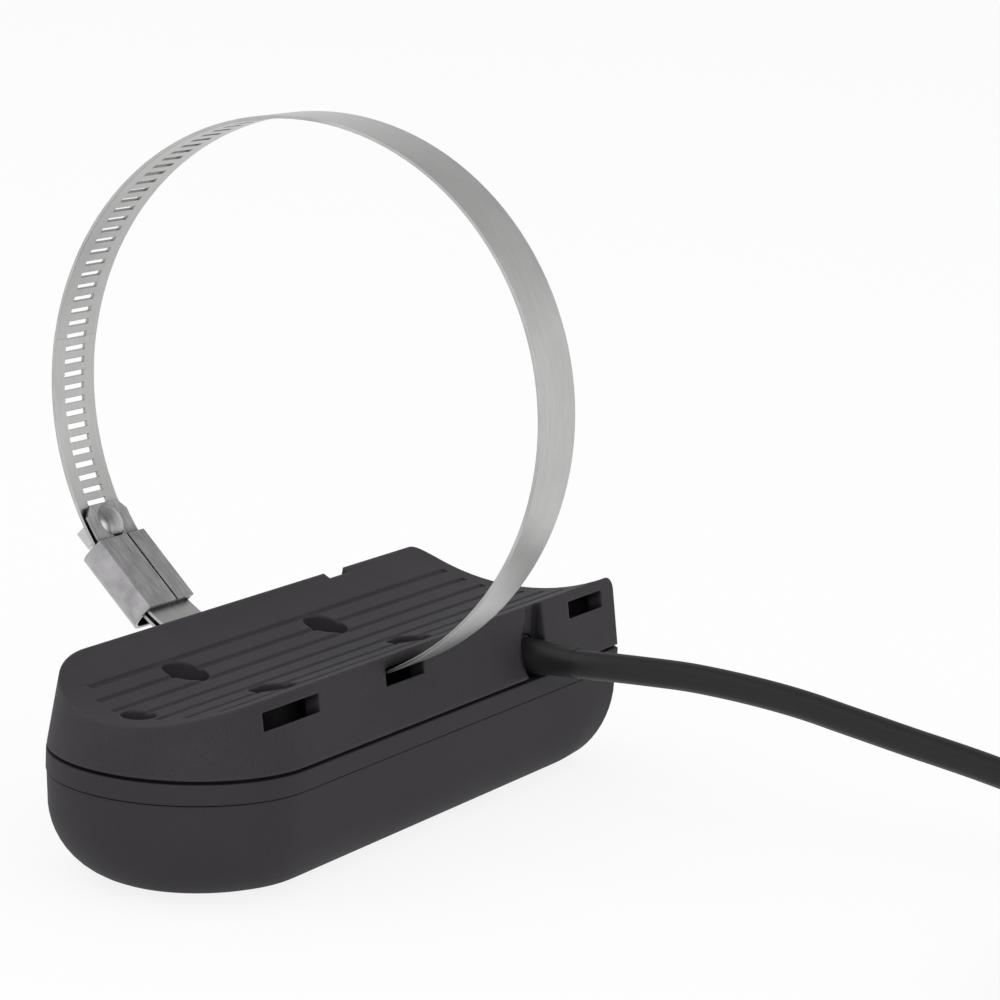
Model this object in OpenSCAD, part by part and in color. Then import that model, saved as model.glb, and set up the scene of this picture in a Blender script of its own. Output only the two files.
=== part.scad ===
// Trolling-motor sonar transducer: a potted housing under a saddle cradle, with a worm-drive
// band clamp through the cradle's side slots and a coiled cable.
// Millimetres, +Z up, +Y towards the rear, +X towards the cable. The sole rests on z = 0.

/* [Housing] */
// Length from the nose to the rear face
body_len = 143.4; // [136:0.2:156]
// Width at the seam between housing and cradle
body_w = 49; // [47:0.5:54]
// Height of the seam above the sole
seam_z = 23; // [22:0.5:27]
// Height of the cover's edge below the seam
cover_edge = 3.6; // [3:0.1:4.5]
// Radius of the sole's edges
sole_r = 10; // [8:0.5:12]
// Wall and floor of the housing cup
cup_wall = 3; // [2.4:0.1:3.5]
// Width that the cup's wall draws in over its height, on each side
cup_draft = 0.5; // [0:0.1:0.8]
// Chamfer of the upright rear corners
rear_chamfer = 1.2; // [0.5:0.1:2]
// Length of the nose's bowl-like rounding
bow_len = 30.5; // [24:0.5:36]
// Height of the middle of that rounding above the sole
bow_z = 34; // [24:1:40]

/* [Cradle] */
// Diameter of the motor that the saddle fits
motor_d = 97; // [92:0.5:100]
// Height of the saddle's lowest line above the seam
saddle_rise = 9; // [8.5:0.5:12]
// Width that the cradle's wall draws in for each millimetre of height
cradle_draft = 0.149; // [0.05:0.001:0.18]
// Thickness of the roof between saddle and strap channel
roof_t = 2; // [1.6:0.1:2.4]
// Wall of the cradle
cradle_wall = 3.2; // [2.4:0.1:4]
// Number of grip grooves along the saddle
groove_count = 9; // [3:2:11]
// Spacing of the grip grooves
groove_pitch = 4.45; // [3:0.05:5]
// Radius of each grip groove
groove_r = 0.9; // [0.6:0.05:1.2]
// Depth of each grip groove
groove_depth = 0.35; // [0.2:0.05:0.5]
// Radial height of the strap slots
slot_h = 3.2; // [2.4:0.1:3.6]
// Length of the front, middle and rear strap slot
slot_len = [15.6, 13.6, 13.9];
// Distance from nose to the front and middle strap slot
slot_at = [23.3, 60.3];
// Distance from the rear face to the rear strap slot
rear_slot_at = 13.3; // [11:0.1:15]
// Width of the cable notches
notch_w = 7.2; // [7:0.1:8]
// Depth of the cable notches at the seam
notch_depth = 3.6; // [3:0.1:4.5]
// Distance from nose to the cable notches
notch_at = 109.2; // [104:0.2:114]
// Depth of the dished wall in front of each notch
scoop_depth = 1.3; // [0.5:0.1:2]
// Length of the dished wall in front of each notch
scoop_len = 13; // [8:0.5:18]

/* [Cradle screws] */
// Distance between the left and right screw
screw_gap = 18.4; // [16:0.2:20]
// Distance from nose to the front and rear pair of screws
screw_at = [37.4, 85.1];
// Distance from nose to the nose screw
nose_screw_at = 9.2; // [9:0.1:11]
// Diameter of the paired recesses
recess_d = 8.8; // [8:0.1:9.4]
// Diameter of the nose recess
nose_recess_d = 6.4; // [6:0.1:7]
// Diameter of the screw shanks
screw_d = 3; // [2.5:0.1:3.2]

/* [Clamp] */
// Width of the steel band
band_w = 12.7; // [10:0.1:13]
// Thickness of the steel band
band_t = 0.6; // [0.4:0.05:0.7]
// Length of each slot in the band
perf_len = 6.2; // [4:0.1:7]
// Width of each slot in the band
perf_w = 1; // [0.6:0.1:1.4]
// Spacing of the slots in degrees round the ring
perf_pitch = 2.74; // [2:0.02:4]
// Direction of the worm screw round the ring, from the cable side upwards
worm_deg = 227; // [220:0.5:230]
// Length of the clamp housing
clamp_len = 16; // [14:0.5:18]
// Width of the screw head across its flats
head_af = 4.6; // [4:0.1:4.8]
// Length of the screw head
head_len = 3.5; // [3:0.5:5]

/* [Cable] */
// Diameter of the cable
cable_d = 5.7; // [5:0.1:6]
// Height of the cable's axis above the seam
cable_rise = 4.2; // [4:0.1:4.4]
// Length of the flared boot, from the gland to its tip
boot_len = 11.5; // [9:0.5:12]
// Turns across the coil
coil_turns = 6; // [4:1:7]
// Layers of turns in the coil
coil_layers = 4; // [2:1:5]
// Radius of the outermost turn
coil_r = 57; // [54:0.5:60]
// Thickness of the coil's tie
tie_t = 0.5; // [0.3:0.1:0.8]
// Width of the coil's tie
tie_w = 8; // [5:0.5:12]
// Radius of the plug's grip
plug_r = 9; // [8:0.5:11]
// Length of the plug's grip
plug_grip_len = 15; // [12:1:20]
// Length of the plug's mouth
plug_mouth_len = 12; // [10:1:16]

/* [Sonar elements] */
// Diameter of the sounding disc
disc_d = 26; // [20:0.5:27]
// Thickness of the sounding disc
disc_t = 7; // [4:0.5:7.5]
// Wall of the foam cap round the disc
foam_t = 2.5; // [1.5:0.1:3]
// Length of the scanning bars
bar_len = 52; // [40:1:54]
// Thickness of the scanning bars
bar_t = 4; // [3:0.1:4.2]
// Width of the scanning bars
bar_w = 7; // [5:0.1:7]
// Length of the circuit board
board_len = 40; // [34:1:42]
// Width of the circuit board
board_w = 34; // [28:1:35]
// Thickness of the circuit board
board_t = 1.6; // [1:0.1:2]

/* [Hidden] */
$fn = 96;

nose_tip_y = -body_len / 2;
rear_y = body_len / 2;
seam_hw = body_w / 2;
nose_y = nose_tip_y + seam_hw;
bow_y = nose_tip_y + bow_len;
eps = 0.02;
over = 1;
fit = 0.05;
play = 0.3;
touch = 0.1;

// Cup and cover
cup_top = seam_z - cover_edge;
line_gap = 0.2;
cup_h = cup_top - line_gap;
shadow_step = 0.15;
cup_hw = seam_hw - shadow_step;
cup_slope = cup_draft / cup_h;
lip_depth = 3;
lip_t = 2;
lip_inset = cup_wall + play;

// Saddle and strap ring share one axis along Y
motor_r = motor_d / 2;
axis_z = seam_z + saddle_rise + motor_r;
channel_r = motor_r + roof_t;
cradle_top = axis_z - sqrt(motor_r * motor_r - seam_hw * seam_hw);
cradle_h = cradle_top - seam_z;
rim_hw = seam_hw - cradle_draft * cradle_h;
slot_ys = concat([for (at = slot_at) nose_tip_y + at], [rear_y - rear_slot_at]);
strap_y = slot_ys[1];
notch_y = nose_tip_y + notch_at;
notch_floor_x = seam_hw - notch_depth;
notch_back_t = 1.6;
gland_gap = 0.3;
scoop_r = 14;
scoop_rise = 6.2;
horn_r = 1.6;
seam_groove_h = 0.7;
seam_groove_in = 1;
groove_end = 5;
rib_t = 1.6;
strap_ribs = [-14, 13.5];
notch_ribs = [-10, 9.5];
rib_ys = concat([for (off = strap_ribs) strap_y + off], [for (off = notch_ribs) notch_y + off]);

// Screws: [x, y, recess diameter]
screw_places = concat(
    [for (at = screw_at, side = [-1, 1]) [side * screw_gap / 2, nose_tip_y + at, recess_d]],
    [[0, nose_tip_y + nose_screw_at, nose_recess_d]]
);
recess_floor = 3;
recess_wall = 1.8;
screw_head_h = 2.2;
screw_head_gap = 0.9;
screw_len = 9;
cross_w = 0.8;
cross_span = 1.2;
cross_depth = 1;
cover_boss_wall = 2.2;
cover_boss_r = screw_d / 2 + cover_boss_wall;
cover_boss_len = 7.5;

// Band: an inner ring, and a tail that leaves it on a wider circle
band_room = 0.45;
band_r = channel_r + band_t / 2 + band_room;
fixed_deg = worm_deg - 8.5;
tail_from_deg = worm_deg - 53.5;
tail_to_deg = worm_deg + 19;
tail_grow = 2.4;
tail_step = 0.04;
perf_from_deg = 102;
clamp_half_deg = clamp_len / 2 / band_r * 180 / PI;
tail_out = tail_dev(worm_deg) + band_t / 2;
layer_gap = tail_dev(fixed_deg) - band_t;
perf_cut = 4;
perf_tail_cut = 1.4;
worm_core_r = 1.3;
worm_room = 1.85;
worm_r = band_r + tail_out + play + worm_core_r;
neck_r = 1.4;
neck_len = 2.2;
collar_t = 1.5;
head_slot = 0.9;
head_slot_depth = 1.4;

// Saddle plate with its domed tongue, and the housing whose two legs fold in under it
saddle_plate_t = 0.5;
saddle_r = band_r - band_t / 2 - touch;
tongue_len = 7.5;
tongue_deg = tongue_len / band_r * 180 / PI;
tongue_chamfer = 2;
dome_h = 1.3;
dome_half_w = tongue_len / 2 - play;
dome_r = (dome_half_w * dome_half_w + dome_h * dome_h) / (2 * dome_h);
clamp_t = 0.7;
clamp_half_w = band_w / 2 + play / 2 + clamp_t;
leg_t = 0.6;
leg_seam_y = 1.7;
leg_seam_w = 0.5;
leg_top_x = (saddle_r - saddle_plate_t) * cos(clamp_half_deg) - touch;
clamp_top_x = worm_r + worm_room + clamp_t;
clamp_corner_r = 4.5;
collar_x = band_r + tail_out - play;

// Gland, boot and the cable's route
cable_r = cable_d / 2;
cable_z = seam_z + cable_rise;
gland_from_x = 11;
gland_setback = 0.2;
gland_to_x = notch_floor_x - gland_setback;
gland_wall = 0.95;
gland_r = cable_r + gland_wall;
pedestal_w = 1.6 * gland_r;
boot_room = 0.2;
boot_base_r = notch_w / 2 - boot_room;
boot_neck_wall = 0.25;
boot_neck_r = cable_r + boot_neck_wall;
boot_tip_wall = 0.13;
boot_tip_r = cable_r + boot_tip_wall;
boot_seat_len = 3.4;
boot_flare_len = 3;
wire_r = 0.6;
wire_x = 6.5;
wire_hole_r = 2.6;
exit_y = notch_y;
coil_x = 207;
coil_y = -7;
// Points of the free cable, from the gland over the floor to the coil
cable_route = [
    [gland_from_x + touch, exit_y, cable_z], [20, exit_y, cable_z], [27, exit_y, cable_z],
    [33, exit_y, cable_z], [40, 38.9, 27.3], [47, 40.7, 27.2], [54, 42.4, 27], [62, 43.8, 26.4],
    [70, 45, 25.5], [77, 46, 24.4], [84, 46.5, 23.1], [91, 47, 21.8], [98, 47.5, 20.5],
    [105, 48, 19.3], [112, 48.5, 18], [120, 49, 16.3], [128, 49.5, 14.2], [136, 49.5, 11.9],
    [144, 50, 9.6], [152, 50, 7.5], [160, 50, 5.7], [168, 50, 4.5], [176, 50, 3.8],
    [184, 50, 3.5], [193, 50, 3.45], [coil_x, 50, 3.45]
];

// Coil: its outermost turn runs along +X at y = 50
coil_base = tie_t + touch;
coil_h = coil_layers * cable_d;
coil_out_r = coil_r + cable_r;
coil_in_r = coil_out_r - (coil_turns + 1) * cable_d;
tie_deg = 300;
tie_gap = 0.6;
tie_head = [5, 9, 5];

// Plug: lies on the coil and points to -Y
plug_x = coil_x + 41;
plug_y = 10;
plug_z = coil_base + coil_h + plug_r + fit;
plug_boot_len = 22;
plug_boot_r = 5.2;
boot_rings = 4;
boot_core_wall = 0.7;
plug_step = 1.6;
plug_mouth_r = plug_r - plug_step;
plug_mouth_wall = 1.3;
plug_bore_r = plug_mouth_r - plug_mouth_wall;
plug_way_r = 2;
flute_count = 14;
flute_r = 1.1;
flute_out = 0.44;
flute_end = 2;
seal_r = 0.9;
insert_seat = 5;
insert_len = 7;
pin_r = 0.6;
pin_len = 12;
pin_root = 1;
pin_circle_r = 3.6;
pin_count = 6;
// Points of the cable's end, from the coil's top turn up to the plug
tail_route = [
    [207, 44.3, 20.5], [217, 43.2, 21.2], [226, 40.2, 22.6], [234, 35.6, 24.6], [240.5, 29.8, 27],
    [245, 23, 29.6], [247.4, 16.5, 31.5], [plug_x, plug_y, plug_z], [plug_x, plug_y - 10, plug_z],
    [plug_x, plug_y - 18, plug_z]
];

// Sonar elements on the cup's floor
disc_y = strap_y;
disc_foam_r = disc_d / 2 + foam_t;
fillet_r = sole_r - cup_wall;
fillet_x = cup_hw - cup_draft - sole_r;
disc_z = cup_wall + floor_rise(disc_d / 2);
foam_top = disc_z + disc_t + foam_t;
bar_gap = 3;
bar_from_y = disc_y + disc_foam_r + bar_gap;
bar_foam_t = 2.5;
bar_face = sqrt(fillet_r * fillet_r - bar_w * bar_w / 4) - touch;
down_bar_len = 36;
down_bar_w = 4;
down_bar_h = 6;
board_rear_gap = 6.2;
board_from_y = rear_y - cup_wall - board_rear_gap - board_len;
board_z = 14.4;
board_screw_inset = 3.5;
standoff_r = 2.4;
board_screw_r = 1;
board_screw_len = 4;
board_head_r = 1.9;
board_head_h = 1;
lead_x = 2;
lead_end = 3;
choke_r = 5.5;
choke_h = 5;
choke_hole_r = 1.2;
choke_inset = 1;
probe_r = 2.5;
probe_h = 3;
probe_step = 0.8;
probe_ahead = 9;
probe_y = bow_y - probe_ahead;

// Height of the cup's inner floor above its flat middle, at a distance from the middle line
function floor_rise(x) = fillet_r - sqrt(fillet_r * fillet_r - pow(max(0, x - fillet_x), 2));

function unit(v) = v / norm(v);
function tangent(p, i) = unit(p[min(i + 1, len(p) - 1)] - p[max(i - 1, 0)]);
function ring_points(p, i, r, n) =
    let (t = tangent(p, i), s = unit(cross(t, [0, 0, 1])), u = cross(s, t))
    [for (k = [0:n - 1]) p[i] + r * (cos(360 * k / n) * s + sin(360 * k / n) * u)];

// Round tube swept along a list of points
module tube(p, r, n = 12) {
    m = len(p);
    first_cap = [for (k = [0:n - 1]) n - 1 - k];
    last_cap = [for (k = [0:n - 1]) (m - 1) * n + k];
    sides = [for (i = [0:m - 2], k = [0:n - 1])
        let (a = i * n + k, b = i * n + (k + 1) % n, c = a + n, d = b + n)
        each [[a, b, d], [a, d, c]]];
    polyhedron(
        points = [for (i = [0:m - 1]) each ring_points(p, i, r, n)],
        faces = concat([first_cap], sides, [last_cap])
    );
}

// Body with a round nose and a straight rear, drawn in by an inset, from height z0 to z1.
// Its wall leans inwards by slope for each millimetre
module body_form(z0, z1, hw0, slope, inset = 0) {
    h = z1 - z0;
    hw = hw0 - inset / cos(atan(slope));
    hw_top = hw - slope * h;
    rear = rear_y - inset;
    translate([0, nose_y, z0]) cylinder(h = h, r1 = hw, r2 = hw_top);
    translate([0, rear, z0]) rotate([90, 0, 0]) linear_extrude(rear - nose_y)
        polygon([[-hw, 0], [hw, 0], [hw_top, h], [-hw_top, h]]);
}

// What the chamfers take off the rear corners of such a body
module rear_corners(z0, z1, hw0, slope) {
    cut = rear_chamfer * sqrt(2);
    for (side = [0, 1]) mirror([side, 0, 0]) translate([-hw0, rear_y, z0])
        rotate([0, atan(slope), 0]) rotate([0, 0, 45])
            cube([cut, cut, 4 * (z1 - z0)], center = true);
}

// What the rounded sole takes off along the sides, the nose and the rear
module sole_rounding(hw, r, floor_z, rear) {
    module corner_2d() translate([hw - r, floor_z]) difference() {
        translate([0, -over]) square([r + 2 * over, r + over]);
        translate([0, r]) circle(r);
    }
    translate([0, nose_y, 0]) rotate([0, 0, 180]) rotate_extrude(angle = 180) corner_2d();
    for (side = [0, 1]) mirror([side, 0, 0])
        translate([0, rear + over, 0]) rotate([90, 0, 0])
            linear_extrude(rear + over - nose_y) corner_2d();
    translate([-hw - over, rear - hw, 0]) rotate([90, 0, 90])
        linear_extrude(2 * hw + 2 * over) corner_2d();
}

// Outside of the cup, or its hollow when drawn in by the wall
module cup_form(inset, top) {
    // The wall leans outwards going up, so it is drawn upside down from its wide rim
    hw = cup_hw - inset;
    difference() {
        translate([0, 0, top]) mirror([0, 0, 1])
            body_form(0, top - inset, cup_hw, cup_slope, inset);
        sole_rounding(hw - cup_draft, sole_r - inset, inset, rear_y - inset);
    }
}

module housing_cup() {
    color("#3a383a") difference() {
        cup_form(0, cup_h);
        difference() {
            cup_form(cup_wall, cup_h + eps);
            bow_cut(cup_wall);
        }
        bow_cut(0);
        rear_corners(0, cup_h, cup_hw - cup_draft, -cup_slope);
    }
}

// What the bowl-like rounding takes off the nose, or off the hollow when drawn in by the wall
module bow_cut(inset) {
    edge = sole_r * (1 - cos(45));
    bow_r = norm([fillet_x + sole_r - edge, bow_z - edge]) + play;
    difference() {
        translate([-body_w, nose_tip_y - over, -over]) cube([2 * body_w, bow_len + over, seam_z]);
        translate([0, bow_y, bow_z]) rotate([90, 0, 0]) sphere(bow_r - inset);
    }
}

module housing_cover() {
    color("#3d3b3d") difference() {
        union() {
            body_form(cup_top, seam_z, seam_hw, 0);
            difference() {
                body_form(cup_top - lip_depth, cup_top + eps, cup_hw - cup_draft, 0, lip_inset);
                body_form(cup_top - lip_depth - over, cup_top, cup_hw - cup_draft, 0,
                    lip_inset + lip_t);
            }
            for (s = screw_places)
                translate([s[0], s[1], cup_top - cover_boss_len + cover_edge])
                    cylinder(h = cover_boss_len, r = cover_boss_r);
            at_board_screws() translate([0, 0, board_z + board_t])
                cylinder(h = cup_top + eps - board_z - board_t, r = standoff_r);
            // Gland that holds the cable
            translate([gland_from_x, exit_y, cable_z]) rotate([0, 90, 0])
                cylinder(h = gland_to_x - gland_from_x, r = gland_r);
            translate([gland_from_x, exit_y - pedestal_w / 2, seam_z - eps])
                cube([gland_to_x - gland_from_x, pedestal_w, cable_rise]);
        }
        rear_corners(cup_top, seam_z, seam_hw, 0);
        for (s = screw_places)
            translate([s[0], s[1], seam_z - screw_len + recess_floor])
                cylinder(h = screw_len, r = screw_d / 2 + eps);
        at_board_screws() translate([0, 0, board_z])
            cylinder(h = board_screw_len + play, r = board_screw_r + eps);
        translate([gland_from_x - over, exit_y, cable_z]) rotate([0, 90, 0])
            cylinder(h = gland_to_x - gland_from_x + 2 * over, r = cable_r + fit);
        translate([wire_x, exit_y, cup_top - over])
            cylinder(h = cover_edge + 2 * over, r = wire_hole_r);
    }
}

// Ring round the strap's axis, between two radii, over a width along Y
module strap_ring(r0, r1, w, y) {
    translate([0, y, axis_z]) rotate([90, 0, 0]) rotate_extrude()
        translate([r0, -w / 2]) square([r1 - r0, w]);
}

module motor_bore(r) {
    translate([0, 0, axis_z]) rotate([90, 0, 0]) cylinder(h = 3 * body_len, r = r, center = true);
}

module mount_cradle() {
    wall_z = seam_z + seam_groove_h;
    color("#3f3d3f") difference() {
        union() {
            difference() {
                union() {
                    body_form(wall_z, cradle_top, seam_hw - cradle_draft * seam_groove_h, cradle_draft);
                    // Plinth drawn in by the shadow groove
                    body_form(seam_z, wall_z + over, seam_hw, 0, seam_groove_in);
                }
                difference() {
                    body_form(seam_z - over, cradle_top, seam_hw + cradle_draft * over,
                        cradle_draft, cradle_wall);
                    motor_bore(channel_r);
                }
            }
            for (s = screw_places) translate([s[0], s[1], seam_z])
                cylinder(h = cradle_h, r = s[2] / 2 + recess_wall);
            intersection() {
                body_form(seam_z, cradle_top, seam_hw, cradle_draft, cradle_wall / 2);
                union() {
                    for (y = rib_ys)
                        translate([-seam_hw, y - rib_t / 2, seam_z]) cube([body_w, rib_t, cradle_h]);
                    at_notches() translate([seam_hw - notch_back_t, 0, cradle_h / 2])
                        cube([body_w, notch_w + 2 * cradle_wall, cradle_h], center = true);
                }
            }
        }
        motor_bore(motor_r);
        grip_grooves();
        rear_horns();
        rear_corners(seam_z, cradle_top, seam_hw, cradle_draft);
        // Way for the gland, open downwards
        translate([0, exit_y, cable_z]) rotate([0, 90, 0])
            cylinder(h = notch_floor_x + touch, r = gland_r + gland_gap);
        translate([gland_from_x - gland_gap, exit_y - pedestal_w / 2 - gland_gap, seam_z - over])
            cube([notch_floor_x + touch - gland_from_x, pedestal_w + 2 * gland_gap, cable_rise + over]);
        for (i = [0:2]) strap_ring(channel_r, channel_r + slot_h, slot_len[i], slot_ys[i]);
        for (s = screw_places) translate([s[0], s[1], seam_z]) {
            translate([0, 0, recess_floor]) cylinder(h = cradle_h, r = s[2] / 2);
            translate([0, 0, -over]) cylinder(h = cradle_h, r = screw_d / 2 + play / 2);
        }
        at_notches() {
            translate([seam_hw, 0, cradle_h / 2]) cube([body_w, notch_w, 2 * cradle_h], center = true);
            scoop();
        }
    }
}

// Frame of each cable notch: at the middle of its floor on the seam, X points outwards
module at_notches() {
    for (side = [0, 1]) mirror([side, 0, 0]) translate([notch_floor_x, notch_y, seam_z]) children();
}

// Shallow round cut that sinks into the wall towards the notch's front edge
module scoop() {
    translate([notch_depth - cradle_draft * scoop_rise, -notch_w / 2, scoop_rise])
        rotate([0, -atan(cradle_draft), 0]) rotate([0, 0, atan(scoop_depth / scoop_len)])
            translate([scoop_r - scoop_depth, notch_w / 2, 0]) rotate([90, 0, 0])
                cylinder(h = 2 * scoop_len, r = scoop_r);
}

// What rounds the rear ends of the cradle's two rims
module rear_horns() {
    horn_z = axis_z - sqrt(motor_r * motor_r - rim_hw * rim_hw);
    translate([-body_w, rear_y - horn_r, horn_z - horn_r]) rotate([90, 0, 90])
        linear_extrude(2 * body_w) difference() {
            square(2 * horn_r);
            circle(horn_r);
        }
}

// Grip grooves stop short of the nose rim and of the rear face
module grip_grooves() {
    nose_r = rim_hw - groove_end;
    half = (groove_count - 1) / 2;
    for (i = [-half:half]) {
        x = i * groove_pitch;
        if (abs(x) < nose_r) {
            from_y = nose_y - sqrt(nose_r * nose_r - x * x);
            groove_at = motor_r - groove_r + groove_depth;
            translate([x, from_y, axis_z - sqrt(groove_at * groove_at - x * x)]) rotate([-90, 0, 0])
                cylinder(h = rear_y - groove_end - from_y, r = groove_r, $fn = 24);
        }
    }
}

module cradle_screws() {
    color("#55585a") for (s = screw_places) {
        head_r = s[2] / 2 - screw_head_gap;
        translate([s[0], s[1], seam_z + recess_floor]) difference() {
            union() {
                cylinder(h = screw_head_h, r = head_r);
                translate([0, 0, touch - screw_len]) cylinder(h = screw_len, r = screw_d / 2);
            }
            for (turn = [0, 90]) rotate([0, 0, turn])
                translate([0, 0, screw_head_h])
                    cube([cross_span * head_r, cross_w, 2 * cross_depth], center = true);
        }
    }
}

module sounding_disc() {
    color("#d8d3c4") translate([0, disc_y, disc_z]) cylinder(h = disc_t, r = disc_d / 2);
}

// Foam cap over the disc, with a hole for each lead
module disc_foam() {
    skirt_z = cup_wall + floor_rise(disc_foam_r) + touch;
    color("#6b5a45") translate([0, disc_y, 0]) difference() {
        translate([0, 0, skirt_z]) cylinder(h = foam_top - skirt_z, r = disc_foam_r);
        cylinder(h = disc_z + disc_t, r = disc_d / 2 + fit);
        for (side = [-1, 1]) translate([side * lead_x, 0, 0])
            cylinder(h = foam_top + over, r = wire_r + play);
    }
}

// Frame of one scanning bar: X points out and down through the sole's rounded edge
module at_side_bar(side) {
    mirror([side < 0 ? 1 : 0, 0, 0]) translate([fillet_x, bar_from_y, sole_r]) rotate([0, 45, 0])
        children();
}

module side_bars() {
    color("#cfc9b8") for (side = [-1, 1]) at_side_bar(side)
        translate([bar_face - bar_t, 0, -bar_w / 2]) cube([bar_t, bar_len, bar_w]);
}

module down_bar() {
    color("#cfc9b8") translate([-down_bar_w / 2, bar_from_y, cup_wall])
        cube([down_bar_w, down_bar_len, down_bar_h]);
}

module bar_foam() {
    color("#6b5a45") {
        for (side = [-1, 1]) at_side_bar(side)
            translate([bar_face - bar_t - bar_foam_t, 0, -bar_w / 2])
                cube([bar_foam_t, bar_len, bar_w]);
        translate([-down_bar_w / 2, bar_from_y, cup_wall + down_bar_h])
            cube([down_bar_w, down_bar_len, bar_foam_t]);
    }
}

module at_board_screws() {
    for (side = [-1, 1], end = [board_screw_inset, board_len - board_screw_inset])
        translate([side * (board_w / 2 - board_screw_inset), board_from_y + end, 0]) children();
}

module circuit_board() {
    color("#2f5d3a") difference() {
        translate([-board_w / 2, board_from_y, board_z]) cube([board_w, board_len, board_t]);
        at_board_screws() translate([0, 0, board_z - over])
            cylinder(h = board_t + 2 * over, r = board_screw_r + play / 2);
    }
}

module board_screws() {
    color("#b9bcbf") at_board_screws() {
        translate([0, 0, board_z - board_head_h]) cylinder(h = board_head_h, r = board_head_r);
        translate([0, 0, board_z - eps]) cylinder(h = board_screw_len, r = board_screw_r);
    }
}

// Ferrite pot of the matching choke, under the rear end of the board
module tuning_choke() {
    color("#4a4a4d") translate([0, board_from_y + board_len - choke_r - choke_inset, board_z - choke_h])
        difference() {
            cylinder(h = choke_h, r = choke_r);
            translate([0, 0, -over]) cylinder(h = choke_h, r = choke_hole_r);
        }
}

module temperature_probe() {
    color("#b8924a") translate([0, probe_y, cup_wall]) {
        cylinder(h = probe_h / 2, r = probe_r);
        cylinder(h = probe_h, r = probe_r - probe_step);
    }
}

// Leads that rise from the disc, run back over the bars and turn up to the board
module disc_leads() {
    lead_z = foam_top + wire_r + play;
    end_y = board_from_y + lead_end;
    from_z = disc_z + disc_t;
    color("#b5463c") for (side = [-1, 1]) translate([side * lead_x, 0, 0]) {
        translate([0, disc_y, from_z]) cylinder(h = lead_z - from_z, r = wire_r);
        translate([0, disc_y, lead_z]) sphere(wire_r);
        translate([0, disc_y, lead_z]) rotate([-90, 0, 0]) cylinder(h = end_y - disc_y, r = wire_r);
        translate([0, end_y, lead_z]) sphere(wire_r);
        translate([0, end_y, lead_z]) cylinder(h = board_z - lead_z, r = wire_r);
    }
}

// Cores that leave the cable's end in the gland and drop through the cover to the board
module core_wires() {
    color("#c9a23f") for (row = [-1, 1]) translate([0, exit_y + row, 0]) {
        translate([wire_x, 0, cable_z]) rotate([0, 90, 0])
            cylinder(h = gland_from_x + touch - wire_x, r = wire_r);
        translate([wire_x, 0, cable_z]) sphere(wire_r);
        translate([wire_x, 0, board_z + board_t])
            cylinder(h = cable_z - board_z - board_t, r = wire_r);
    }
}

// Flared rubber sleeve where the cable leaves the notch
module cable_boot() {
    flare_end = boot_seat_len + boot_flare_len;
    color("#2c2b2d") translate([gland_to_x, exit_y, cable_z]) rotate([0, 90, 0]) difference() {
        union() {
            cylinder(h = boot_seat_len, r = boot_base_r);
            translate([0, 0, boot_seat_len])
                cylinder(h = boot_flare_len, r1 = boot_base_r, r2 = boot_neck_r);
            translate([0, 0, flare_end])
                cylinder(h = boot_len - flare_end, r1 = boot_neck_r, r2 = boot_tip_r);
        }
        translate([0, 0, -over]) cylinder(h = boot_len + 2 * over, r = cable_r + fit);
    }
}

module cable() {
    color("#262527") tube(cable_route, cable_r);
}

// Outer shape of the coil: all turns side by side with round edges
module cable_coil() {
    color("#262527") translate([coil_x, coil_y, coil_base]) rotate_extrude() {
        translate([coil_in_r, cable_r]) square([coil_out_r - coil_in_r, coil_h - cable_d]);
        translate([coil_in_r + cable_r, 0]) square([coil_out_r - coil_in_r - cable_d, coil_h]);
        for (x = [coil_in_r + cable_r, coil_r], z = [cable_r, coil_h - cable_r])
            translate([x, z]) circle(cable_r);
    }
}

module cable_tail() {
    color("#262527") tube(tail_route, cable_r);
}

// Strap round the coil's bundle, with its buckle outside
module cable_tie() {
    in_r = coil_in_r - tie_gap;
    out_r = coil_out_r + touch;
    top = coil_base + coil_h + touch;
    color("#1f1f21") translate([coil_x, coil_y, 0]) rotate([0, 0, tie_deg]) {
        difference() {
            translate([in_r - tie_t, -tie_w / 2, 0])
                cube([out_r - in_r + 2 * tie_t, tie_w, top + tie_t]);
            translate([in_r, -tie_w, tie_t]) cube([out_r - in_r, 2 * tie_w, top - tie_t]);
        }
        translate([out_r + tie_t - eps, -tie_head[1] / 2, top / 2]) cube(tie_head);
    }
}

module at_plug() {
    translate([plug_x, plug_y, plug_z]) rotate([90, 0, 0]) children();
}

// Tapered sleeve with relief rings behind the plug
module plug_boot() {
    ring_pitch = plug_boot_len / (boot_rings + 1.5);
    color("#2c2b2d") at_plug() difference() {
        cylinder(h = plug_boot_len, r1 = cable_r + boot_core_wall + touch, r2 = plug_boot_r);
        translate([0, 0, -over]) cylinder(h = plug_boot_len + 2 * over, r = cable_r + fit);
        for (i = [1:boot_rings]) translate([0, 0, i * ring_pitch]) difference() {
            cylinder(h = ring_pitch / 3, r = plug_r);
            translate([0, 0, -over])
                cylinder(h = ring_pitch + 2 * over, r = cable_r + boot_core_wall);
        }
    }
}

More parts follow.
